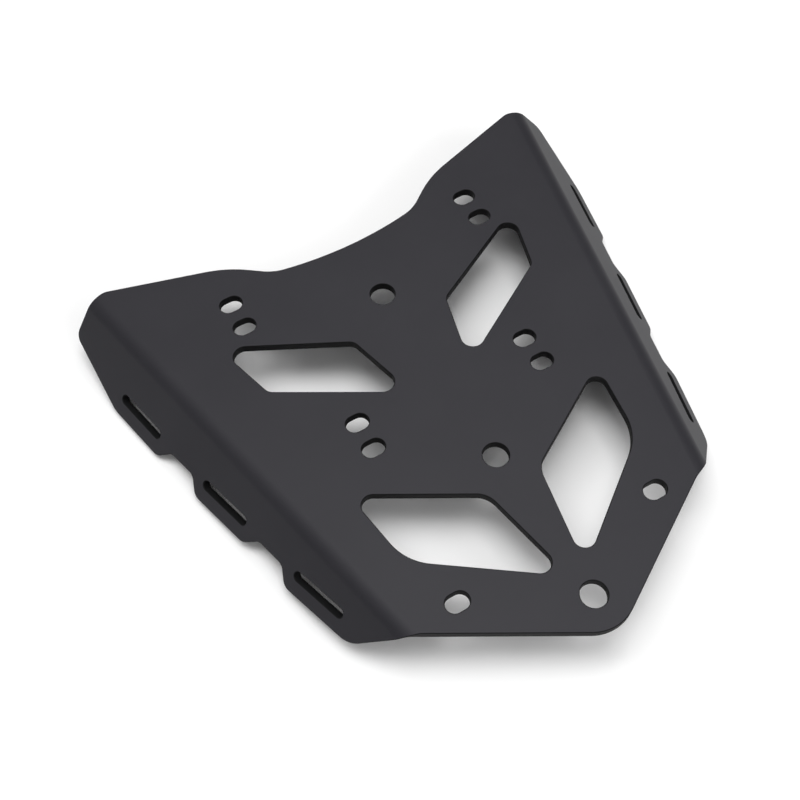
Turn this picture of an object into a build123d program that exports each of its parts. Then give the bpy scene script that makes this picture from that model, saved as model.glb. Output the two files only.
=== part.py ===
from build123d import *
import os
from math import cos, radians, sin, sqrt, tan

# Rear luggage rack for a motorcycle: one folded aluminium plate.
# X runs across the rack, Y forwards to the rider, Z up. Sizes are in millimetres and degrees.
# Stations along Y are counted from the middle bolt hole on the centre line.

# Sheet and folds
SHEET = 5.0                     # thickness of the plate
FOLD_INNER_RADIUS = 7.0         # bend radius on the underside
FOLD_ANGLE = 51.5               # how far each side flange is folded down from the deck
FOLD_TAPER = 12.0               # lean of each fold line towards the tail, seen from above
SHARP_HALF_WIDTH = 94.7         # centre plane to the fold's sharp corner line at station zero
FOLD_FRONT = 186.8              # front end of the fold, measured along it

# Deck outline
HOLLOW_Y = 146.6                # deepest point of the hollow in the front edge
HOLLOW_RADIUS = 205.0
RAMP_ANGLE = 37.0               # straight ramp from the hollow up to the shoulder
RAMP_FOOT_RADIUS = 26.0
RAMP_TOP_RADIUS = 65.0
SHOULDER_END = 2.4              # start of the fold to the shoulder's corner, along the front end
SHOULDER_LENGTH = 65.3          # shoulder's corner to the ramp, both corners taken sharp
SHOULDER_ANGLE = 16.3
SHOULDER_CORNER_RADIUS = 8.0
TAIL_Y = -102.0                 # tail edges carried on to the centre plane
TAIL_ANGLE = 30.0
TAIL_TIP_RADIUS = 22.0

# Windows: each has two slanted cross edges and two side edges
FRONT_WINDOW_FRONT_Y = 76.8     # cross edges are given where they reach the centre plane
FRONT_WINDOW_FRONT_ANGLE = 27.3
FRONT_WINDOW_REAR_Y = 40.9
FRONT_WINDOW_REAR_ANGLE = 30.2
FRONT_WINDOW_INNER_X = 3.9      # side edges are given where they reach station zero
FRONT_WINDOW_INNER_LEAN = 14.6
FRONT_WINDOW_RIB = 34.8         # window to the start of the fold, at station zero
FRONT_WINDOW_OUTER_LEAN = 15.9
FRONT_WINDOW_RADII = (6.0, 6.0, 6.0, 6.0)
REAR_WINDOW_FRONT_Y = -24.0
REAR_WINDOW_FRONT_ANGLE = 30.0
REAR_WINDOW_REAR_Y = -71.8
REAR_WINDOW_REAR_ANGLE = 35.7
REAR_WINDOW_INNER_X = 17.7
REAR_WINDOW_INNER_LEAN = 11.0
REAR_WINDOW_RIB = 20.0
REAR_WINDOW_OUTER_LEAN = 8.5
REAR_WINDOW_RADII = (12.0, 5.5, 27.0, 5.5)

# Holes
CENTRE_HOLE_DIAMETER = 13.0
CENTRE_HOLE_FRONT_Y = 109.5
CENTRE_HOLE_REAR_Y = -81.3
BOLT_SLOT_WIDTH = 9.0
BOLT_SLOT_LENGTH = 12.0
BOLT_PAIR_PITCH = 16.0          # distance between the two slots of a pair
FRONT_BOLT_SPACING = 143.0      # left slot to right slot
FRONT_BOLT_Y = 135.6            # middle of the front pairs
REAR_BOLT_SPACING = 98.0
REAR_BOLT_Y = 41.0              # middle of the rear pairs
TAIL_BOLT_SPACING = 110.0
TAIL_BOLT_Y = -53.5

# Side flanges, laid out in their own plane: along the fold, and down from the sharp corner line
TAB_PITCH = 68.0
FIRST_SLOT = 125.3              # middle of the foremost strap slot
TAB_REACH = (38.3, 35.9, 31.4)  # depth of each tab at its slot's middle, front to tail
TAB_TILT = (0.5, 4.2, 7.2)      # turn of each tab and its slot from the fold line
TAB_FRONT = 17.2                # slot middle to the tab's front corner
TAB_REAR = 19.4                 # slot middle to the tab's rear corner
TAB_FRONT_FLANK = 7.0           # length along the fold that a tab's slanted front side takes up
TAB_REAR_FLANK = 7.7
TAB_CORNER_RADIUS = 6.0
NOTCH_DEPTH = 8.2               # tab corner to the recessed edge between two tabs
NOTCH_RADIUS = 5.0
NOSE_REACH = 23.3               # depth of the flange's square front end
NOSE_RADIUS = 6.5
NOSE_TAB_RADIUS = 18.0
FLANGE_TAIL_ANGLE = 37.5        # slant of the flange's tail end from square
FLANGE_TAIL_RADIUS = 15.0
STRAP_SLOT_LENGTH = 32.0
STRAP_SLOT_WIDTH = 5.0
STRAP_SLOT_INSET = 10.3         # slot's middle line to the tab's edge

# Broken edge all round the plate
EDGE_BREAK = 0.4

# Worked out from the sizes above
FOLD_OUTER_RADIUS = FOLD_INNER_RADIUS + SHEET
FOLD_SETBACK = FOLD_OUTER_RADIUS * tan(radians(FOLD_ANGLE / 2))
FOLD_FLAT_LENGTH = radians(FOLD_ANGLE) * (FOLD_INNER_RADIUS + SHEET / 2)
FOLD_START_HALF_WIDTH = SHARP_HALF_WIDTH - FOLD_SETBACK / cos(radians(FOLD_TAPER))


def cross_edge(centre_y, angle):
    """Straight line that crosses the centre plane and runs outwards and forwards."""
    return (0.0, centre_y, angle)


def side_edge(zero_x, lean):
    """Straight line that runs forwards and leans outwards."""
    return (zero_x, 0.0, 90.0 - lean)


def crossing(first, second):
    """Point where two straight lines meet; a line is a point and a direction angle."""
    x1, y1, angle1 = first
    x2, y2, angle2 = second
    dx1, dy1 = cos(radians(angle1)), sin(radians(angle1))
    dx2, dy2 = cos(radians(angle2)), sin(radians(angle2))
    run = ((x2 - x1) * dy2 - (y2 - y1) * dx2) / (dx1 * dy2 - dy1 * dx2)
    return (x1 + run * dx1, y1 + run * dy1)


def mirrored(points):
    """The same points on the left of the centre plane, in reverse order."""
    return [(-x, y) for x, y in reversed(points)]


# Straight lines that bound the deck
FOLD_START = side_edge(FOLD_START_HALF_WIDTH, FOLD_TAPER)
TAIL_EDGE = cross_edge(TAIL_Y, TAIL_ANGLE)
FOLD_FRONT_END = (
    SHARP_HALF_WIDTH + FOLD_FRONT * sin(radians(FOLD_TAPER)),
    FOLD_FRONT * cos(radians(FOLD_TAPER)),
    -FOLD_TAPER,
)
FOLD_FRONT_POINT = crossing(FOLD_FRONT_END, FOLD_START)
FOLD_TAIL_POINT = crossing(TAIL_EDGE, FOLD_START)
SHOULDER_CORNER = (
    FOLD_FRONT_POINT[0] - SHOULDER_END * cos(radians(FOLD_TAPER)),
    FOLD_FRONT_POINT[1] + SHOULDER_END * sin(radians(FOLD_TAPER)),
)
RAMP_TOP = (
    SHOULDER_CORNER[0] - SHOULDER_LENGTH * cos(radians(SHOULDER_ANGLE)),
    SHOULDER_CORNER[1] - SHOULDER_LENGTH * sin(radians(SHOULDER_ANGLE)),
)

# Flat in the sheet, the cut round the fold's tail end has the slant of the flange's tail end
FOLD_TAIL_START = (FOLD_TAIL_POINT[0] - SHARP_HALF_WIDTH) * sin(radians(FOLD_TAPER)) + (
    FOLD_TAIL_POINT[1] * cos(radians(FOLD_TAPER))
)
FOLD_TAIL_END = FOLD_TAIL_START + FOLD_FLAT_LENGTH * tan(radians(FLANGE_TAIL_ANGLE))

# Right fold: X outwards, Y forwards along the fold, Z up, from the sharp corner line
FOLD_FRAME = Plane(
    origin=(SHARP_HALF_WIDTH, 0, 0),
    x_dir=(cos(radians(FOLD_TAPER)), -sin(radians(FOLD_TAPER)), 0),
    z_dir=(0, 0, 1),
)
# Centre of the bend: X outwards, Y down, Z forwards along the fold
BEND_FRAME = FOLD_FRAME * Plane(
    origin=(-FOLD_SETBACK, 0, -FOLD_OUTER_RADIUS), x_dir=(1, 0, 0), z_dir=(0, 1, 0)
)
# Outer face of the right flange: X forwards along the fold, Y down the slope, Z into the sheet
FLANGE_FRAME = FOLD_FRAME * Plane(
    origin=(0, 0, 0),
    x_dir=(0, 1, 0),
    z_dir=(-sin(radians(FOLD_ANGLE)), 0, -cos(radians(FOLD_ANGLE))),
)


def ramp_foot():
    """Point where the straight ramp leaves the round hollow of the front edge."""
    top_x, top_y = RAMP_TOP
    slope = tan(radians(RAMP_ANGLE))
    drop = top_y - slope * top_x - HOLLOW_Y - HOLLOW_RADIUS
    a = 1 + slope**2
    b = 2 * slope * drop
    c = drop**2 - HOLLOW_RADIUS**2
    x = (-b - sqrt(b**2 - 4 * a * c)) / (2 * a)
    return (x, top_y + slope * (x - top_x))


def deck_outline():
    """Flat part of the plate, out to the start of both folds."""
    foot = ramp_foot()
    tip = (0.0, TAIL_Y)
    right = [foot, RAMP_TOP, SHOULDER_CORNER, FOLD_FRONT_POINT, FOLD_TAIL_POINT]
    edge = Polyline(*right, tip, *mirrored(right))
    hollow = ThreePointArc(edge @ 0, (0.0, HOLLOW_Y), edge @ 1)
    outline = make_face([*edge.edges(), *hollow.edges()])
    corners = {
        foot: RAMP_FOOT_RADIUS,
        RAMP_TOP: RAMP_TOP_RADIUS,
        SHOULDER_CORNER: SHOULDER_CORNER_RADIUS,
        tip: TAIL_TIP_RADIUS,
    }
    for (x, y), radius in corners.items():
        for corner_x in {x, -x}:
            corner = outline.vertices().sort_by_distance((corner_x, y, 0))[0]
            outline = fillet(corner, radius)
    return outline


def window(front, rear, inner, outer, radii):
    """Right-hand window; its corners run inner front, outer front, outer rear, inner rear."""
    corners = [
        crossing(front, inner),
        crossing(front, outer),
        crossing(rear, outer),
        crossing(rear, inner),
    ]
    return make_face(FilletPolyline(*corners, radius=list(radii), close=True))


def deck_openings():
    """Windows and holes of the deck, on both sides of the centre plane."""
    right = [
        window(
            cross_edge(FRONT_WINDOW_FRONT_Y, FRONT_WINDOW_FRONT_ANGLE),
            cross_edge(FRONT_WINDOW_REAR_Y, FRONT_WINDOW_REAR_ANGLE),
            side_edge(FRONT_WINDOW_INNER_X, FRONT_WINDOW_INNER_LEAN),
            side_edge(FOLD_START_HALF_WIDTH - FRONT_WINDOW_RIB, FRONT_WINDOW_OUTER_LEAN),
            FRONT_WINDOW_RADII,
        ),
        window(
            cross_edge(REAR_WINDOW_FRONT_Y, REAR_WINDOW_FRONT_ANGLE),
            cross_edge(REAR_WINDOW_REAR_Y, REAR_WINDOW_REAR_ANGLE),
            side_edge(REAR_WINDOW_INNER_X, REAR_WINDOW_INNER_LEAN),
            side_edge(FOLD_START_HALF_WIDTH - REAR_WINDOW_RIB, REAR_WINDOW_OUTER_LEAN),
            REAR_WINDOW_RADII,
        ),
    ]
    half_pitch = BOLT_PAIR_PITCH / 2
    bolt_slot = SlotOverall(BOLT_SLOT_LENGTH, BOLT_SLOT_WIDTH)
    for spacing, y in (
        (FRONT_BOLT_SPACING, FRONT_BOLT_Y + half_pitch),
        (FRONT_BOLT_SPACING, FRONT_BOLT_Y - half_pitch),
        (REAR_BOLT_SPACING, REAR_BOLT_Y + half_pitch),
        (REAR_BOLT_SPACING, REAR_BOLT_Y - half_pitch),
        (TAIL_BOLT_SPACING, TAIL_BOLT_Y),
    ):
        right.append(Pos(spacing / 2, y) * bolt_slot)
    centre = [
        Pos(0, y) * Circle(CENTRE_HOLE_DIAMETER / 2)
        for y in (CENTRE_HOLE_FRONT_Y, 0, CENTRE_HOLE_REAR_Y)
    ]
    return right + [mirror(opening, about=Plane.YZ) for opening in right] + centre


def tab_edge(index, offset):
    """Depth of a tab's edge at a distance along the fold from its slot's middle."""
    return TAB_REACH[index] + offset * tan(radians(TAB_TILT[index]))


def flange_outline():
    """Right flange with its three tabs, from the end of the bend downwards."""
    nose_corner = (FOLD_FRONT, NOSE_REACH)
    points = [(FOLD_FRONT, FOLD_SETBACK), nose_corner]
    radii = [NOSE_RADIUS]
    last = len(TAB_REACH) - 1
    for index in range(len(TAB_REACH)):
        middle = FIRST_SLOT - index * TAB_PITCH
        front_reach = tab_edge(index, TAB_FRONT)
        rear_reach = tab_edge(index, -TAB_REAR)
        if index > 0:
            points.append((middle + TAB_FRONT + TAB_FRONT_FLANK, front_reach - NOTCH_DEPTH))
            radii.append(NOTCH_RADIUS)
        points.append((middle + TAB_FRONT, front_reach))
        radii.append(TAB_CORNER_RADIUS if index > 0 else NOSE_TAB_RADIUS)
        if index < last:
            points.append((middle - TAB_REAR, rear_reach))
            points.append((middle - TAB_REAR - TAB_REAR_FLANK, rear_reach - NOTCH_DEPTH))
            radii += [TAB_CORNER_RADIUS, NOTCH_RADIUS]
    tail_end = (FOLD_TAIL_END, FOLD_SETBACK)
    last_edge = (middle, TAB_REACH[last], TAB_TILT[last])
    points.append(crossing(last_edge, (*tail_end, 90.0 - FLANGE_TAIL_ANGLE)))
    radii.append(FLANGE_TAIL_RADIUS)
    points.append(tail_end)
    rim = FilletPolyline(*points, radius=radii)
    bend_end = Line(rim @ 1, rim @ 0)
    return make_face([*rim.edges(), *bend_end.edges()])


def strap_slots():
    """One slot for a strap in each tab, parallel to the tab's edge."""
    slots = []
    for index, reach in enumerate(TAB_REACH):
        middle = FIRST_SLOT - index * TAB_PITCH
        turned = Rot(0, 0, TAB_TILT[index]) * SlotOverall(STRAP_SLOT_LENGTH, STRAP_SLOT_WIDTH)
        slots.append(Pos(middle, reach - STRAP_SLOT_INSET) * turned)
    return slots


def bend():
    """Curved strip between deck and right flange, cut to the slant of the tail edge."""
    start_angle = -90.0
    outer = CenterArc((0, 0), FOLD_OUTER_RADIUS, start_angle, FOLD_ANGLE)
    inner = CenterArc((0, 0), FOLD_INNER_RADIUS, start_angle, FOLD_ANGLE)
    ends = [Line(outer @ 0, inner @ 0), Line(outer @ 1, inner @ 1)]
    section = make_face([*outer.edges(), *inner.edges(), *ends[0].edges(), *ends[1].edges()])
    spare = SHEET
    strip = extrude(Pos(0, 0, FOLD_TAIL_START - spare) * section, FOLD_FRONT - FOLD_TAIL_START + spare)
    walls = []
    for turn, along in ((0.0, FOLD_TAIL_START), (FOLD_ANGLE, FOLD_TAIL_END)):
        dx, dy = cos(radians(start_angle + turn)), sin(radians(start_angle + turn))
        near, far = FOLD_INNER_RADIUS / 2, FOLD_OUTER_RADIUS * 2
        corners = [
            (near * dx, near * dy, along),
            (far * dx, far * dy, along),
            (far * dx, far * dy, FOLD_TAIL_START - 2 * spare),
            (near * dx, near * dy, FOLD_TAIL_START - 2 * spare),
        ]
        walls.append(make_face(Polyline(*corners, close=True)))
    return BEND_FRAME * (strip - loft(walls, ruled=True))


def break_edges(sheet):
    """Chamfer the rims on both sides of the sheet, but not the long joints along a fold."""
    skins = sheet.faces().sort_by(SortBy.AREA)[-2:]
    rims = [edge for skin in skins for edge in skin.edges() if edge.length < FOLD_FRONT]
    return chamfer(rims, EDGE_BREAK)


def rack_plate():
    """The whole rack, with the middle hole's top edge at the origin."""
    deck = extrude(deck_outline() - deck_openings(), -SHEET)
    flange = FLANGE_FRAME * extrude(flange_outline() - strap_slots(), SHEET)
    right = break_edges(bend()) + break_edges(flange)
    return break_edges(deck) + right + mirror(right, about=Plane.YZ)


plate = rack_plate()
box = plate.bounding_box()
plate = Pos(0, -(box.min.Y + box.max.Y) / 2, -box.min.Z) * plate
plate.label = "rack_plate"

os.makedirs("parts", exist_ok=True)
export_step(plate, "parts/rack_plate.step")
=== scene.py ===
"""Looks of a folded motorcycle luggage rack: one powder-coated plate on a pale studio floor.

The plate is laid out as a flat blank, cut along closed paths, and then folded by a formula, as the
real one is. Sizes of the plate are in millimetres and degrees, with X across, Y forwards and Z up;
lamps and camera are in metres.
"""

import logging
import math
from dataclasses import dataclass
from enum import Enum
from typing import List, Sequence, Tuple

import bpy
import numpy as np
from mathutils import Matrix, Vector
from mathutils.geometry import delaunay_2d_cdt


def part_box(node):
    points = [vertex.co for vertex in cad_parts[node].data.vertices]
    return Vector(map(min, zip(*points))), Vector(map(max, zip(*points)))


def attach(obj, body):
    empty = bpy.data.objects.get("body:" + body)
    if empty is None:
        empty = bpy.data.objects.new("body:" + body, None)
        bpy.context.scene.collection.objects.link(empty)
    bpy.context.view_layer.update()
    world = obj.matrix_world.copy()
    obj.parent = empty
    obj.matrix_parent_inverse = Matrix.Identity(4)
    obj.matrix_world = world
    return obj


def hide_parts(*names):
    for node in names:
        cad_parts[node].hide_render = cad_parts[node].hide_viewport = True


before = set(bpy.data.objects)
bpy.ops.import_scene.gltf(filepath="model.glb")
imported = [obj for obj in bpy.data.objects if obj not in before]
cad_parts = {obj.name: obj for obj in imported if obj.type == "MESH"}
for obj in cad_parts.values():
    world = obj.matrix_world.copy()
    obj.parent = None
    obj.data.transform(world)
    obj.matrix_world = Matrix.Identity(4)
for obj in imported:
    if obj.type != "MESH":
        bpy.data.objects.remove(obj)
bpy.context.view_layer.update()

log = logging.getLogger("luggage_rack")

METRES_PER_MM = 0.001
SAME_PLACE_MM = 1e-6
MEETING_MM = 1e-5
CAD_NODE = "rack_plate"
BODY = "root"
COAT_SLOT = "powder_coat"
CUT_EDGE = "cut_edge"
STAGE_RADIUS = 1.2
STAGE_SIDES = 64
Colour = Tuple[float, float, float]
Line = Tuple[float, float, float]


class PathKind(Enum):
    """Which side of a closed cut the metal is on."""

    OUTLINE = 1.0
    OPENING = -1.0


def cross_edge(centre_y: float, angle: float) -> Line:
    """Straight line that crosses the centre plane and runs outwards and forwards."""
    return (0.0, centre_y, angle)


def side_edge(zero_x: float, lean: float) -> Line:
    """Straight line that runs forwards and leans outwards."""
    return (zero_x, 0.0, 90.0 - lean)


def crossing(first: Line, second: Line) -> np.ndarray:
    """Finds where two straight lines meet: the first line's point plus the run that cancels the offset.

    Args:
        first: A point and a direction angle in degrees.
        second: The same for the other line.

    Returns:
        The common point, x and y.
    """
    start, other = np.array(first[:2]), np.array(second[:2])
    angles = np.radians([first[2], second[2]])
    one, two = np.stack([np.cos(angles), np.sin(angles)], 1)
    gap = other - start
    run = (gap[0] * two[1] - gap[1] * two[0]) / (one[0] * two[1] - one[1] * two[0])
    return start + run * one


@dataclass(frozen=True)
class SheetFold:
    """The sheet, and the tapered fold that turns each side down.

    On the right side, u is the distance outwards from the fold's start and v the distance forwards
    along it, both measured on the blank's middle surface. The left side mirrors the right.
    """

    thickness: float = 5.0
    inner_radius: float = 7.0
    angle: float = 51.5
    taper: float = 12.0
    sharp_half_width: float = 94.7
    front: float = 186.8
    tail_angle: float = 37.5
    strips: int = 20

    @property
    def middle_radius(self) -> float:
        """Bend radius of the middle surface."""
        return self.inner_radius + self.thickness / 2

    @property
    def setback(self) -> float:
        """Distance from the fold's start to the sharp corner line of the outer faces."""
        return (self.inner_radius + self.thickness) * math.tan(math.radians(self.angle / 2))

    @property
    def flat_length(self) -> float:
        """Length of blank that the bend takes up."""
        return math.radians(self.angle) * self.middle_radius

    @property
    def outwards(self) -> np.ndarray:
        """Unit direction of u in the blank's plane."""
        return np.array([math.cos(math.radians(self.taper)), -math.sin(math.radians(self.taper))])

    @property
    def forwards(self) -> np.ndarray:
        """Unit direction of v in the blank's plane."""
        return np.array([math.sin(math.radians(self.taper)), math.cos(math.radians(self.taper))])

    @property
    def origin(self) -> np.ndarray:
        """Point of the blank where u and v are zero."""
        return np.array([self.sharp_half_width, 0.0]) - self.setback * self.outwards

    @property
    def start_line(self) -> Line:
        """The fold's start as a line of the blank."""
        return (*self.origin, 90.0 - self.taper)

    def lay_out(self, along: np.ndarray, out: np.ndarray) -> np.ndarray:
        """Places points given by v and u in the blank: origin plus u outwards plus v forwards.

        Args:
            along: Distances v.
            out: Distances u.

        Returns:
            Points of the blank, one row each.
        """
        return self.origin + np.outer(out, self.outwards) + np.outer(along, self.forwards)

    def lay_out_flange(self, along: np.ndarray, depth: np.ndarray) -> np.ndarray:
        """Places points of the flange, with depth measured from the sharp corner line."""
        return self.lay_out(along, self.flat_length + np.asarray(depth) - self.setback)

    def reach(self, flat: np.ndarray) -> np.ndarray:
        """Distances u of points of the blank, on either side."""
        return (np.abs(flat * [1, 0]) + flat * [0, 1] - self.origin) @ self.outwards

    def in_bend(self, flat: np.ndarray) -> np.ndarray:
        """Marks the points of the blank that lie in a bend, its two ends included."""
        reach = self.reach(flat)
        return (reach > -SAME_PLACE_MM) & (reach < self.flat_length + SAME_PLACE_MM)

    def fold(self, flat: np.ndarray, *vectors: np.ndarray) -> Tuple[np.ndarray, ...]:
        """Folds the blank's middle surface.

        Up to the start of the fold a point stays in the plane. In the bend it turns with the angle u
        over the middle radius, so it goes out by radius times sine and down by radius times one minus
        cosine. Past the bend it goes straight on down the slope. A vector in the blank turns with its
        point: its part along u follows the slope and its part along v stays as it is.

        Args:
            flat: Points of the blank, one row each.
            vectors: Arrays of vectors in the blank, one row for each point.

        Returns:
            Points in space, the normals of the upper side there, and each array of vectors in space.
        """
        side = np.where(flat[:, 0] < 0, -1.0, 1.0)
        mirror = np.stack([side, np.ones_like(side)], 1)
        relative = flat * mirror - self.origin
        out, along = relative @ self.outwards, relative @ self.forwards
        turn = np.clip(out, 0, self.flat_length) / self.middle_radius
        before, beyond = np.minimum(out, 0), np.maximum(out - self.flat_length, 0)
        reach = before + self.middle_radius * np.sin(turn) + beyond * np.cos(turn)
        drop = self.middle_radius * (1 - np.cos(turn)) + beyond * np.sin(turn)

        def to_space(outward: np.ndarray, forward: np.ndarray, up: np.ndarray) -> np.ndarray:
            """Adds up the three parts and mirrors what belongs to the left side."""
            level = np.outer(outward, self.outwards) + np.outer(forward, self.forwards)
            return np.column_stack([level[:, 0] * side, level[:, 1], up])

        still = np.zeros_like(turn)
        points = to_space(reach, along, -drop)
        points += np.column_stack([self.origin[0] * side, still + self.origin[1], still])
        normals = to_space(np.sin(turn), still, np.cos(turn))
        carried = []
        for vector in vectors:
            local = vector * mirror
            slope, forward = local @ self.outwards, local @ self.forwards
            carried.append(to_space(slope * np.cos(turn), forward, -slope * np.sin(turn)))
        return (points, normals, *carried)


@dataclass(frozen=True)
class CutPath:
    """A closed laser cut: points, unit normals out of the metal, and how the rim is carried outwards."""

    points: np.ndarray
    normals: np.ndarray
    carriers: np.ndarray

    @staticmethod
    def rounded(
        corners: np.ndarray, radii: Sequence[float], kind: PathKind, arc_steps: int = 14
    ) -> "CutPath":
        """Rounds the corners of a polygon.

        Each arc starts a tangent length before its corner, which is radius times the tangent of half
        the turn. Its points are the centre plus the radius along the normal, which swings from the
        normal of the edge before to that of the edge after in equal steps. A corner without a radius
        is one point, whose carrier is the mitre: the middle normal over the cosine of half the turn.

        Args:
            corners: Corner points in order, either way round.
            radii: Radius at each corner.
            kind: Outline of the metal, or opening in it.
            arc_steps: Steps in each arc.

        Returns:
            The path, with the metal on its left.
        """
        corners, radius = np.asarray(corners, float), np.asarray(radii, float)
        following = np.roll(corners, -1, 0)
        area = np.sum(corners[:, 0] * following[:, 1] - corners[:, 1] * following[:, 0])
        if area * kind.value < 0:
            corners, radius = corners[::-1], radius[::-1]
        leaving = np.roll(corners, -1, 0) - corners
        leaving /= np.linalg.norm(leaving, axis=1, keepdims=True)
        arriving = np.roll(leaving, 1, 0)
        turn = np.arctan2(
            arriving[:, 0] * leaving[:, 1] - arriving[:, 1] * leaving[:, 0], np.sum(arriving * leaving, 1)
        )
        tangent = radius * np.tan(np.abs(turn) / 2)
        normal = np.stack([arriving[:, 1], -arriving[:, 0]], 1)
        signed = radius * np.sign(turn)
        centre = corners - arriving * tangent[:, None] - normal * signed[:, None]
        swing = turn[:, None] * np.linspace(0, 1, arc_steps + 1)
        cosine, sine = np.cos(swing), np.sin(swing)
        swung = np.stack(
            [normal[:, :1] * cosine - normal[:, 1:] * sine, normal[:, :1] * sine + normal[:, 1:] * cosine], 2
        )
        points = centre[:, None] + swung * signed[:, None, None]
        stretch = np.where(radius > 0, 1.0, 1 / np.cos(turn / 2))[:, None, None]
        middle = np.arange(arc_steps + 1) == arc_steps // 2
        kept = (radius > 0)[:, None] | middle[None, :]
        flat_points, flat_normals = points[kept], swung[kept]
        flat_carriers = (swung * stretch)[kept]
        apart = np.linalg.norm(flat_points - np.roll(flat_points, 1, 0), axis=1) > SAME_PLACE_MM
        return CutPath(flat_points[apart], flat_normals[apart], flat_carriers[apart])

    def inset(self, distance: float) -> np.ndarray:
        """Points moved into the metal by a distance, along the carriers."""
        return self.points - self.carriers * distance

    def squared_to(self, fold: SheetFold) -> "CutPath":
        """Makes the rim slide along the fold's rulings where it crosses a bend.

        The carrier there is the fold's direction over its share of the normal, so a point keeps its
        place round the bend.

        Args:
            fold: The fold that the path crosses.

        Returns:
            The path with those carriers changed.
        """
        side = np.where(self.points[:, 0] < 0, -1.0, 1.0)
        ruling = np.stack([fold.forwards[0] * side, np.full_like(side, fold.forwards[1])], 1)
        share = np.sum(ruling * self.normals, 1)
        bent = fold.in_bend(self.points)
        carriers = self.carriers.copy()
        carriers[bent] = ruling[bent] / share[bent, None]
        return CutPath(self.points, self.normals, carriers)


@dataclass(frozen=True)
class DeckOutline:
    """Edges of the flat deck that carries the load."""

    hollow_y: float = 146.6
    hollow_radius: float = 205.0
    ramp_angle: float = 37.0
    ramp_foot_radius: float = 26.0
    ramp_top_radius: float = 65.0
    shoulder_end: float = 2.4
    shoulder_length: float = 65.3
    shoulder_angle: float = 16.3
    shoulder_corner_radius: float = 8.0
    tail_y: float = -102.0
    tail_angle: float = 30.0
    tail_tip_radius: float = 22.0

    def hollow_corners(self, ramp_top: np.ndarray) -> np.ndarray:
        """Finds the corners whose roundings are the hollow's arc and the ramp's foot.

        The foot's arc touches the hollow's arc from inside and the ramp's line, so its centre is the
        hollow's radius less its own away from the hollow's centre, and its own radius from the line.
        The corners are where the tangents at the arcs' ends meet.

        Args:
            ramp_top: The point that the ramp climbs to.

        Returns:
            The corner on the centre plane and the right-hand foot's corner.
        """
        slope = math.radians(self.ramp_angle)
        along = np.array([math.cos(slope), math.sin(slope)])
        left = np.array([-math.sin(slope), math.cos(slope)])
        hollow_centre = np.array([0.0, self.hollow_y + self.hollow_radius])
        from_line = ramp_top + left * self.ramp_foot_radius
        gap = from_line - hollow_centre
        ahead, distance = gap @ along, self.hollow_radius - self.ramp_foot_radius
        run = -ahead - math.sqrt(ahead**2 - gap @ gap + distance**2)
        foot_centre = from_line + run * along
        outwards = (foot_centre - hollow_centre) / distance
        joint = hollow_centre + outwards * self.hollow_radius
        tangent = (*joint, math.degrees(math.atan2(outwards[0], -outwards[1])))
        centre_corner = crossing(tangent, (0.0, self.hollow_y, 90.0))
        foot_corner = crossing(tangent, (*ramp_top, self.ramp_angle))
        return np.array([centre_corner, foot_corner])

    def front_corners(self, fold: SheetFold) -> Tuple[np.ndarray, List[float]]:
        """Corners and radii from the hollow's middle out to the right-hand shoulder."""
        lean = math.radians(self.shoulder_angle)
        shoulder_corner = fold.lay_out([fold.front], [-self.shoulder_end])[0]
        ramp_top = shoulder_corner - self.shoulder_length * np.array([math.cos(lean), math.sin(lean)])
        corners = np.vstack([self.hollow_corners(ramp_top), ramp_top, shoulder_corner])
        radii = [self.hollow_radius, self.ramp_foot_radius, self.ramp_top_radius, self.shoulder_corner_radius]
        return corners, radii

    def fold_tail(self, fold: SheetFold) -> float:
        """Distance v at which the tail edge reaches the fold."""
        meeting = crossing(cross_edge(self.tail_y, self.tail_angle), fold.start_line)
        return float((meeting - fold.origin) @ fold.forwards)


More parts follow.
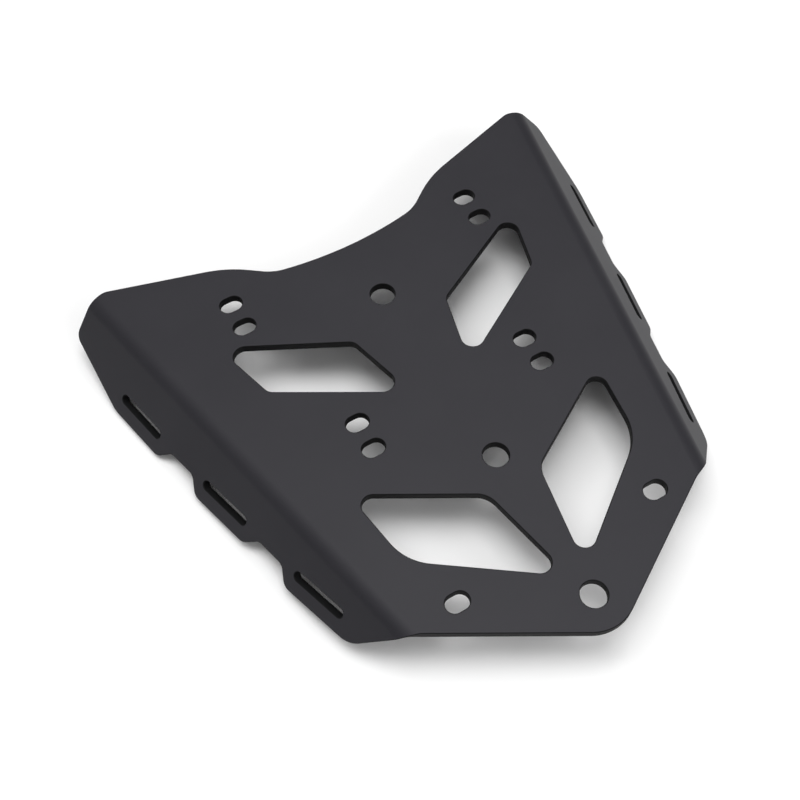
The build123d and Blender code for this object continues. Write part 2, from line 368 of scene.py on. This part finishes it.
@dataclass(frozen=True)
class SideFlange:
    """The folded-down side with three tabs, each with a slot for a strap."""

    tab_pitch: float = 68.0
    first_slot: float = 125.3
    tab_reach: Tuple[float, ...] = (38.3, 35.9, 31.4)
    tab_tilt: Tuple[float, ...] = (0.5, 4.2, 7.2)
    tab_front: float = 17.2
    tab_rear: float = 19.4
    tab_front_flank: float = 7.0
    tab_rear_flank: float = 7.7
    tab_corner_radius: float = 6.0
    notch_depth: float = 8.2
    notch_radius: float = 5.0
    nose_reach: float = 23.3
    nose_radius: float = 6.5
    nose_tab_radius: float = 18.0
    tail_radius: float = 15.0
    slot_length: float = 32.0
    slot_width: float = 5.0
    slot_inset: float = 10.3

    def slot_middles(self) -> np.ndarray:
        """Distance along the fold of each slot's middle, front to tail."""
        return self.first_slot - self.tab_pitch * np.arange(len(self.tab_reach))

    def corners(self, fold: SheetFold, tail: float) -> Tuple[np.ndarray, List[float]]:
        """Lists the flange's corners in the blank, from its front end back to the end of the bend.

        Each tab's edge is a straight line through its slot's middle, leaning by the tab's tilt, so
        its depth at a distance is the reach plus distance times the tangent of the tilt.

        Args:
            fold: The fold that the flange hangs from.
            tail: Distance v of the plate's tail at the end of the bend.

        Returns:
            The corners and their radii.
        """
        middle, reach = self.slot_middles(), np.array(self.tab_reach)
        lean = np.tan(np.radians(self.tab_tilt))
        front_depth, rear_depth = reach + self.tab_front * lean, reach - self.tab_rear * lean
        front_x, rear_x = middle + self.tab_front, middle - self.tab_rear
        tabs = np.stack(
            [
                np.stack([front_x + self.tab_front_flank, front_depth - self.notch_depth], 1),
                np.stack([front_x, front_depth], 1),
                np.stack([rear_x, rear_depth], 1),
                np.stack([rear_x - self.tab_rear_flank, rear_depth - self.notch_depth], 1),
            ],
            1,
        ).reshape(-1, 2)
        radii = [self.notch_radius, self.tab_corner_radius, self.tab_corner_radius, self.notch_radius]
        radii *= len(self.tab_reach)
        last_edge = (middle[-1], reach[-1], self.tab_tilt[-1])
        tail_edge = (tail, fold.setback, 90.0 - fold.tail_angle)
        nose, last = [fold.front, self.nose_reach], crossing(last_edge, tail_edge)
        laid = np.vstack([nose, tabs[1:-2], last])
        rounding = [self.nose_radius, self.nose_tab_radius, *radii[2:-2], self.tail_radius]
        return fold.lay_out_flange(laid[:, 0], laid[:, 1]), rounding

    def slots(self, fold: SheetFold) -> List[CutPath]:
        """Cuts the right-hand strap slots: a long rounded bar turned to its tab's edge.

        Args:
            fold: The fold that the flange hangs from.

        Returns:
            One path for each slot.
        """
        half = np.array([[-1, -1], [1, -1], [1, 1], [-1, 1]]) * [self.slot_length / 2, self.slot_width / 2]
        paths = []
        for middle, reach, tilt in zip(self.slot_middles(), self.tab_reach, np.radians(self.tab_tilt)):
            turned = half @ np.array([[math.cos(tilt), math.sin(tilt)], [-math.sin(tilt), math.cos(tilt)]])
            laid = turned + [middle, reach - self.slot_inset]
            corners = fold.lay_out_flange(laid[:, 0], laid[:, 1])
            paths.append(CutPath.rounded(corners, [self.slot_width / 2] * 4, PathKind.OPENING))
        return paths


@dataclass(frozen=True)
class Window:
    """A four-sided window beside the centre plane.

    The radii are those of the inner front, outer front, outer rear and inner rear corners.
    """

    front_y: float
    front_angle: float
    rear_y: float
    rear_angle: float
    inner_x: float
    inner_lean: float
    rib: float
    outer_lean: float
    radii: Tuple[float, float, float, float]

    def cut(self, fold: SheetFold) -> CutPath:
        """The right-hand window's path: its corners are where its four straight edges meet."""
        front, rear = cross_edge(self.front_y, self.front_angle), cross_edge(self.rear_y, self.rear_angle)
        outer_x = fold.sharp_half_width - fold.setback / math.cos(math.radians(fold.taper)) - self.rib
        inner, outer = side_edge(self.inner_x, self.inner_lean), side_edge(outer_x, self.outer_lean)
        pairs = [(front, inner), (front, outer), (rear, outer), (rear, inner)]
        corners = np.array([crossing(across, side) for across, side in pairs])
        return CutPath.rounded(corners, self.radii, PathKind.OPENING)


@dataclass(frozen=True)
class DeckHoles:
    """Round holes on the centre plane and bolt slots that run across the rack."""

    centre_diameter: float = 13.0
    centre_stations: Tuple[float, ...] = (109.5, 0.0, -81.3)
    slot_width: float = 9.0
    slot_length: float = 12.0
    slot_places: Tuple[Tuple[float, float], ...] = (
        (71.5, 143.6),
        (71.5, 127.6),
        (49.0, 49.0),
        (49.0, 33.0),
        (55.0, -53.5),
    )

    @staticmethod
    def bar(x: float, y: float, length: float, width: float) -> CutPath:
        """A hole as long and wide as given whose ends are half circles; a circle if both are equal."""
        half = np.array([[-1, -1], [1, -1], [1, 1], [-1, 1]]) * [length / 2, width / 2]
        return CutPath.rounded(half + [x, y], [width / 2] * 4, PathKind.OPENING)

    def cuts(self) -> List[CutPath]:
        """Every round hole, and the bolt slots of both sides."""
        across = self.centre_diameter
        round_holes = [self.bar(0.0, y, across, across) for y in self.centre_stations]
        slots = [
            self.bar(side * x, y, self.slot_length, self.slot_width)
            for x, y in self.slot_places
            for side in (1, -1)
        ]
        return round_holes + slots


def mirrored(path: CutPath) -> CutPath:
    """The same cut on the other side of the centre plane, with the metal still on its left."""
    flip = np.array([-1.0, 1.0])
    return CutPath(path.points[::-1] * flip, path.normals[::-1] * flip, path.carriers[::-1] * flip)


@dataclass(frozen=True)
class PowderCoat:
    """Matt black powder coat with a fine grain, and painted shade on the walls of the cuts: a much darker
    colour there, with a duller roughness.
    """

    colour: Colour = (0.0200, 0.0192, 0.0236)
    worn_colour: Colour = (0.0240, 0.0232, 0.0278)
    # painted shade: a near-black colour for the walls of the cuts, standing in for the shade that falls on
    # them
    painted_shade_edge_colour: Colour = (0.0020, 0.0020, 0.0023)
    roughness_low: float = 0.49
    roughness_high: float = 0.55
    edge_roughness: float = 0.75
    specular_level: float = 0.25
    grain_size: float = 0.0009
    grain_detail: float = 2.0
    grain_height: float = 0.00002
    cloud_size: float = 0.045
    cloud_detail: float = 3.0
    cloud_span: Tuple[float, float] = (0.3, 0.7)

    def material(self) -> bpy.types.Material:
        """Builds the coat's nodes.

        A fine noise on object coordinates raises the grain, and a wide one shifts colour and roughness a
        little from place to place. The mesh's cut edge attribute, 1 on the walls of the cuts and 0 on the
        skins, mixes in painted shade there, a near-black colour, and a higher roughness.

        Returns:
            The material.
        """
        coat = bpy.data.materials.new(COAT_SLOT)
        coat.use_nodes = True
        nodes, links = coat.node_tree.nodes, coat.node_tree.links
        shader = nodes["Principled BSDF"]
        shader.inputs["Specular IOR Level"].default_value = self.specular_level
        place = nodes.new("ShaderNodeTexCoord")
        grain = nodes.new("ShaderNodeTexNoise")
        grain.inputs["Scale"].default_value = 1 / self.grain_size
        grain.inputs["Detail"].default_value = self.grain_detail
        cloud = nodes.new("ShaderNodeTexNoise")
        cloud.inputs["Scale"].default_value = 1 / self.cloud_size
        cloud.inputs["Detail"].default_value = self.cloud_detail
        tint = nodes.new("ShaderNodeValToRGB")
        for stop, position, colour in zip(
            tint.color_ramp.elements, self.cloud_span, (self.colour, self.worn_colour)
        ):
            stop.position, stop.color = position, (*colour, 1)
        gloss = nodes.new("ShaderNodeMapRange")
        gloss.inputs["To Min"].default_value = self.roughness_low
        gloss.inputs["To Max"].default_value = self.roughness_high
        edge = nodes.new("ShaderNodeAttribute")
        edge.attribute_name = CUT_EDGE
        # painted shade: mixes the near-black wall colour into the coat where the cut edge attribute is 1
        painted_shade_edge_mix = nodes.new("ShaderNodeMix")
        painted_shade_edge_mix.data_type = "RGBA"
        painted_shade_edge_mix.inputs["B"].default_value = (*self.painted_shade_edge_colour, 1)
        edge_gloss = nodes.new("ShaderNodeMix")
        edge_gloss.inputs["B"].default_value = self.edge_roughness
        bump = nodes.new("ShaderNodeBump")
        bump.inputs["Strength"].default_value = 1.0
        bump.inputs["Distance"].default_value = self.grain_height
        for source, target in (
            (place.outputs["Object"], grain.inputs["Vector"]),
            (place.outputs["Object"], cloud.inputs["Vector"]),
            (cloud.outputs["Fac"], tint.inputs["Fac"]),
            (edge.outputs["Fac"], painted_shade_edge_mix.inputs["Factor"]),
            (tint.outputs["Color"], painted_shade_edge_mix.inputs["A"]),
            (painted_shade_edge_mix.outputs["Result"], shader.inputs["Base Color"]),
            (cloud.outputs["Fac"], gloss.inputs["Value"]),
            (edge.outputs["Fac"], edge_gloss.inputs["Factor"]),
            (gloss.outputs["Result"], edge_gloss.inputs["A"]),
            (edge_gloss.outputs["Result"], shader.inputs["Roughness"]),
            (grain.outputs["Fac"], bump.inputs["Height"]),
            (bump.outputs["Normal"], shader.inputs["Normal"]),
        ):
            links.new(source, target)
        return coat


@dataclass(frozen=True)
class FoldedPlate:
    """The whole rack: one blank cut from sheet, with its rims eased, folded down at both sides."""

    fold: SheetFold = SheetFold()
    deck: DeckOutline = DeckOutline()
    flange: SideFlange = SideFlange()
    holes: DeckHoles = DeckHoles()
    front_window: Window = Window(76.8, 27.3, 40.9, 30.2, 3.9, 14.6, 34.8, 15.9, (6.0, 6.0, 6.0, 6.0))
    rear_window: Window = Window(-24.0, 30.0, -71.8, 35.7, 17.7, 11.0, 20.0, 8.5, (12.0, 5.5, 27.0, 5.5))
    rim_radius: float = 0.5
    rim_steps: int = 5

    def outline(self) -> CutPath:
        """Cuts the blank's outer edge, with a point on every ruling of the two bends.

        The right half runs from the hollow's middle out along the front, down the flange's tabs and
        back over the tail end of the fold to the tail tip. The left half mirrors it.

        Returns:
            The closed path.
        """
        rulings = np.linspace(0, self.fold.flat_length, self.fold.strips + 1)
        tail = self.deck.fold_tail(self.fold) + rulings * math.tan(math.radians(self.fold.tail_angle))
        front_corners, front_radii = self.deck.front_corners(self.fold)
        flange_corners, flange_radii = self.flange.corners(self.fold, tail[-1])
        right = np.vstack(
            [
                front_corners[1:],
                self.fold.lay_out(np.full_like(rulings, self.fold.front), rulings),
                flange_corners,
                self.fold.lay_out(tail[::-1], rulings[::-1]),
            ]
        )
        sharp = [0.0] * len(rulings)
        radii = [*front_radii[1:], *sharp, *flange_radii, *sharp]
        tip = [0.0, self.deck.tail_y]
        corners = np.vstack([front_corners[:1], right, [tip], right[::-1] * [-1, 1]])
        rounding = [front_radii[0], *radii, self.deck.tail_tip_radius, *radii[::-1]]
        return CutPath.rounded(corners, rounding, PathKind.OUTLINE).squared_to(self.fold)

    def openings(self) -> List[CutPath]:
        """Every window, hole and slot of both sides."""
        right = [self.front_window.cut(self.fold), self.rear_window.cut(self.fold)]
        right += self.flange.slots(self.fold)
        return self.holes.cuts() + right + [mirrored(path) for path in right]

    def rim_profile(self) -> Tuple[np.ndarray, np.ndarray, np.ndarray]:
        """Works out the rim's section, from the upper skin round to the lower one.

        Two quarter circles join the skins to the straight wall: the height is the half thickness
        less the radius, plus radius times the cosine of the angle from the sheet's normal, and the
        reach out of the metal is radius times the sine, less the radius.

        Returns:
            Heights, reaches and angles from the sheet's normal.
        """
        upper = np.linspace(0, math.pi / 2, self.rim_steps + 1)
        angle = np.concatenate([upper, math.pi - upper[::-1]])
        core = np.where(np.arange(len(angle)) <= self.rim_steps, 1.0, -1.0)
        height = core * (self.fold.thickness / 2 - self.rim_radius) + self.rim_radius * np.cos(angle)
        reach = self.rim_radius * (np.sin(angle) - 1)
        return height, reach, angle

    def skin(self, paths: Sequence[CutPath]) -> np.ndarray:
        """Triangulates the blank between its inset cuts, keeping every ruling of the bends as an edge.

        A triangle is metal if a ray from its middle crosses the cuts an odd number of times.

        Args:
            paths: The outline first, then the openings.

        Returns:
            Triangles, counter-clockwise seen from above, as rows of point numbers.
        """
        rings = [path.inset(self.rim_radius) for path in paths]
        points = np.vstack(rings)
        counts = np.array([len(ring) for ring in rings])
        firsts = np.concatenate([[0], np.cumsum(counts)[:-1]])
        numbers = np.arange(len(points))
        following = numbers + 1
        following[firsts + counts - 1] = firsts
        edges = np.stack([numbers, following], 1)
        outline = points[: counts[0]]
        bent = np.flatnonzero(self.fold.in_bend(outline))
        step = np.rint(self.fold.reach(outline[bent]) / self.fold.flat_length * self.fold.strips)
        order = np.lexsort((outline[bent, 1], step, outline[bent, 0] < 0))
        rulings = bent[order].reshape(-1, 2)
        constraints = np.vstack([edges, rulings])
        made = delaunay_2d_cdt([Vector(p) for p in points], constraints.tolist(), [], 0, MEETING_MM)
        if len(made[0]) != len(points):
            raise ValueError(f"the blank's cuts meet: {len(made[0])} points from {len(points)}")
        source = np.array([given[0] for given in made[3]])
        triangles = source[np.array(made[2])]
        middle = points[triangles].mean(1)
        start, end = points[edges[:, 0]], points[edges[:, 1]]
        spans = (start[None, :, 1] > middle[:, None, 1]) != (end[None, :, 1] > middle[:, None, 1])
        with np.errstate(divide="ignore", invalid="ignore"):
            at = start[:, 0] + (middle[:, None, 1] - start[:, 1]) * (end - start)[:, 0] / (end - start)[:, 1]
        metal = np.sum(spans & (at > middle[:, None, 0]), 1) % 2 == 1
        triangles = triangles[metal]
        one, two = (points[triangles[:, k]] - points[triangles[:, 0]] for k in (1, 2))
        backwards = one[:, 0] * two[:, 1] - one[:, 1] * two[:, 0] < 0
        triangles[backwards] = triangles[backwards][:, ::-1]
        return triangles

    def mesh(self) -> bpy.types.Mesh:
        """Makes the folded plate's closed mesh with its exact normals.

        Every point of every cut is folded, and the rim's section is carried along it: the point plus
        the normal times height plus the carrier times reach. The first and last points of each
        section are the corners of the two skins' triangles. The cut edge attribute is twice the sine
        of the angle from the sheet's normal, and at most 1.

        Returns:
            The mesh in metres, in the part's own frame.
        """
        paths = [self.outline(), *self.openings()]
        middle, normal, facing, carrier = self.fold.fold(
            np.vstack([path.points for path in paths]),
            np.vstack([path.normals for path in paths]),
            np.vstack([path.carriers for path in paths]),
        )
        height, reach, angle = self.rim_profile()
        ring = len(height)
        points = middle[:, None] + normal[:, None] * height[:, None] + carrier[:, None] * reach[:, None]
        normals = normal[:, None] * np.cos(angle)[:, None] + facing[:, None] * np.sin(angle)[:, None]
        counts = np.array([len(path.points) for path in paths])
        firsts = np.concatenate([[0], np.cumsum(counts)[:-1]])
        numbers = np.arange(counts.sum())
        following = numbers + 1
        following[firsts + counts - 1] = firsts
        here, there = (numbers * ring)[:, None], (following * ring)[:, None]
        down = np.arange(ring - 1)
        walls = np.stack([here + down, here + down + 1, there + down + 1, there + down], 2).reshape(-1, 4)
        upper = self.skin(paths) * ring
        lower = upper[:, ::-1] + ring - 1
        placed = self.placed(points.reshape(-1, 3))
        made = bpy.data.meshes.new("folded_plate")
        made.from_pydata(placed, [], [*walls.tolist(), *upper.tolist(), *lower.tolist()])
        if made.validate():
            log.warning("folded_plate had faults that Blender mended")
        made.shade_smooth()
        made.normals_split_custom_set_from_vertices(normals.reshape(-1, 3))
        # the cut edge attribute is the mask that places the painted shade on the walls of the cuts
        on_edge = np.clip(2 * np.sin(angle), 0, 1).astype(np.float32)
        marks = made.attributes.new(CUT_EDGE, "FLOAT", "POINT")
        marks.data.foreach_set("value", np.tile(on_edge, len(middle)))
        made.update()
        return made

    @staticmethod
    def placed(points: np.ndarray) -> np.ndarray:
        """Moves the plate from its own stations to where the frame has it, in metres.

        The plate's middle along Y goes to the middle of the frame's box, and its lowest point to the
        box's floor.

        Args:
            points: Points in millimetres.

        Returns:
            Points in metres.
        """
        low, high = (np.array(corner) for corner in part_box(CAD_NODE))
        scaled = points * METRES_PER_MM
        shift = (low + high) / 2 - (scaled.min(0) + scaled.max(0)) / 2
        shift[0], shift[2] = 0.0, low[2] - scaled[:, 2].min()
        return scaled + shift

    def build(self, coat: PowderCoat) -> bpy.types.Object:
        """Makes the plate's object, dresses it, and lets it stand for the frame's own plate."""
        mesh = self.mesh()
        mesh.materials.append(coat.material())
        plate = bpy.data.objects.new("folded_plate", mesh)
        bpy.context.scene.collection.objects.link(plate)
        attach(plate, BODY)
        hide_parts(CAD_NODE)
        return plate


def stage_ring(height: float) -> np.ndarray:
    """Points of the stage's rim at a height: cosine and sine times its radius, counter-clockwise."""
    turn = np.linspace(0, 2 * math.pi, STAGE_SIDES, endpoint=False)
    rim = STAGE_RADIUS * np.stack([np.cos(turn), np.sin(turn)], 1)
    return np.column_stack([rim, np.full_like(turn, height)])


def seen_rays(tree: bpy.types.NodeTree) -> bpy.types.NodeSocket:
    """Adds nodes that tell the rays that show a surface from those that only light the rack.

    Args:
        tree: The node tree to add to.

    Returns:
        A socket that is 1 for camera, glossy and transmission rays, and 0 for the rest.
    """
    light = tree.nodes.new("ShaderNodeLightPath")
    seen = light.outputs["Is Camera Ray"]
    for ray in ("Is Glossy Ray", "Is Transmission Ray"):
        either = tree.nodes.new("ShaderNodeMath")
        either.operation = "MAXIMUM"
        tree.links.new(seen, either.inputs[0])
        tree.links.new(light.outputs[ray], either.inputs[1])
        seen = either.outputs[0]
    return seen


@dataclass(frozen=True)
class StudioFloor:
    """A plain white round floor that keeps the rack's shadow."""

    colour: Colour = (0.80, 0.80, 0.80)
    seen_colour: Colour = (1.0, 1.0, 1.0)
    drop: float = 0.0001

    def build(self) -> bpy.types.Object:
        """Lays the floor just under the tabs; the camera and the coat's gloss see its paler colour."""
        mesh = bpy.data.meshes.new("floor")
        mesh.from_pydata(stage_ring(-self.drop), [], [range(STAGE_SIDES)])
        paint = bpy.data.materials.new("floor_paint")
        paint.use_nodes = True
        nodes, links = paint.node_tree.nodes, paint.node_tree.links
        nodes.clear()
        mix = nodes.new("ShaderNodeMix")
        mix.data_type = "RGBA"
        mix.inputs["A"].default_value = (*self.colour, 1)
        mix.inputs["B"].default_value = (*self.seen_colour, 1)
        diffuse = nodes.new("ShaderNodeBsdfDiffuse")
        output = nodes.new("ShaderNodeOutputMaterial")
        links.new(seen_rays(paint.node_tree), mix.inputs["Factor"])
        links.new(mix.outputs["Result"], diffuse.inputs["Color"])
        links.new(diffuse.outputs["BSDF"], output.inputs["Surface"])
        mesh.materials.append(paint)
        floor = bpy.data.objects.new("floor", mesh)
        bpy.context.scene.collection.objects.link(floor)
        return floor


@dataclass(frozen=True)
class StudioSky:
    """The white surroundings: their light on the rack, and the white that the camera and gloss see."""

    strength: float = 0.464
    seen_strength: float = 1.0

    def build(self) -> bpy.types.World:
        """Gives the scene its world."""
        world = bpy.data.worlds.new("studio")
        bpy.context.scene.world = world
        world.use_nodes = True
        nodes, links = world.node_tree.nodes, world.node_tree.links
        nodes.clear()
        level = nodes.new("ShaderNodeMapRange")
        level.inputs["To Min"].default_value = self.strength
        level.inputs["To Max"].default_value = self.seen_strength
        background = nodes.new("ShaderNodeBackground")
        background.inputs["Color"].default_value = (1, 1, 1, 1)
        output = nodes.new("ShaderNodeOutputWorld")
        for source, target in (
            (seen_rays(world.node_tree), level.inputs["Value"]),
            (level.outputs["Result"], background.inputs["Strength"]),
            (background.outputs["Background"], output.inputs["Surface"]),
        ):
            links.new(source, target)
        return world


@dataclass(frozen=True)
class StudioScreen:
    """Grey screens round the stage, hidden from the camera, that dim what the rack's low sides mirror."""

    height: float = 1.1
    colour: Colour = (0.15, 0.15, 0.15)
    roughness: float = 0.9

    def build(self) -> bpy.types.Object:
        """Stands the screens on the floor's rim: each one joins two neighbouring points of it."""
        here = np.arange(STAGE_SIDES)
        there = np.roll(here, -1)
        faces = np.stack([here, here + STAGE_SIDES, there + STAGE_SIDES, there], 1)
        mesh = bpy.data.meshes.new("screen")
        mesh.from_pydata(np.vstack([stage_ring(0.0), stage_ring(self.height)]), [], faces.tolist())
        cloth = bpy.data.materials.new("screen_cloth")
        cloth.use_nodes = True
        shader = cloth.node_tree.nodes["Principled BSDF"]
        shader.inputs["Base Color"].default_value = (*self.colour, 1)
        shader.inputs["Roughness"].default_value = self.roughness
        mesh.materials.append(cloth)
        screen = bpy.data.objects.new("screen", mesh)
        bpy.context.scene.collection.objects.link(screen)
        screen.visible_camera = False
        return screen


@dataclass(frozen=True)
class SoftBox:
    """A square soft lamp aimed at the rack."""

    name: str
    place: Tuple[float, float, float]
    width: float
    power: float
    mirrored: bool
    aim: Tuple[float, float, float] = (0.0, 0.0, 0.0)

    def build(self) -> bpy.types.Object:
        """Hangs the lamp and turns it towards its aim; the coat's gloss shows it only if it is mirrored."""
        light = bpy.data.lights.new(self.name, "AREA")
        light.shape = "SQUARE"
        light.size = self.width
        light.energy = self.power
        lamp = bpy.data.objects.new(self.name, light)
        lamp.visible_glossy = self.mirrored
        bpy.context.scene.collection.objects.link(lamp)
        lamp.location = self.place
        lamp.rotation_mode = "QUATERNION"
        lamp.rotation_quaternion = (Vector(self.aim) - Vector(self.place)).to_track_quat("-Z", "Y")
        return lamp


@dataclass(frozen=True)
class PhotoCamera:
    """The photograph's point of view: behind and to the left of the rack, well above it."""

    place: Tuple[float, float, float] = (-0.16144, -0.22734, 0.50358)
    azimuth: float = -30.326
    elevation: float = 60.05
    lens: float = 49.41
    sensor: float = 36.0
    nearest: float = 0.01
    farthest: float = 20.0

    def build(self) -> bpy.types.Object:
        """Sets the camera level, looking down by its elevation, and makes it the scene's own."""
        data = bpy.data.cameras.new("photo_camera")
        data.lens, data.sensor_width = self.lens, self.sensor
        data.clip_start, data.clip_end = self.nearest, self.farthest
        camera = bpy.data.objects.new("photo_camera", data)
        bpy.context.scene.collection.objects.link(camera)
        camera.location = self.place
        camera.rotation_mode = "XYZ"
        camera.rotation_euler = (math.radians(90.0 - self.elevation), 0.0, math.radians(self.azimuth))
        bpy.context.scene.camera = camera
        return camera


LAMPS = (
    SoftBox("overhead", (0.0, 0.0, 1.6), 0.8, 10.8, True),
    SoftBox("front_right", (0.53, 0.53, 1.41), 0.8, 1.6, True),
    SoftBox("front_left", (-0.53, 0.53, 1.41), 0.8, 6.35, False),
    SoftBox("tail_right", (0.645, -0.645, 0.615), 0.5, 2.4, False),
    SoftBox("tail", (0.0, -0.912, 0.615), 0.5, 1.8, False),
)


def main() -> None:
    """Builds the rack and its studio, and reports each piece."""
    logging.basicConfig(level=logging.INFO, format="%(name)s: %(message)s")
    plate = FoldedPlate().build(PowderCoat())
    log.info("%s: %d faces, rides on %s", plate.name, len(plate.data.polygons), BODY)
    for piece in (StudioFloor(), StudioScreen(), StudioSky(), *LAMPS, PhotoCamera()):
        made = piece.build()
        log.info("%s: in place", made.name)
    bpy.context.scene.view_settings.view_transform = "Standard"


if __name__ == "__main__":
    main()
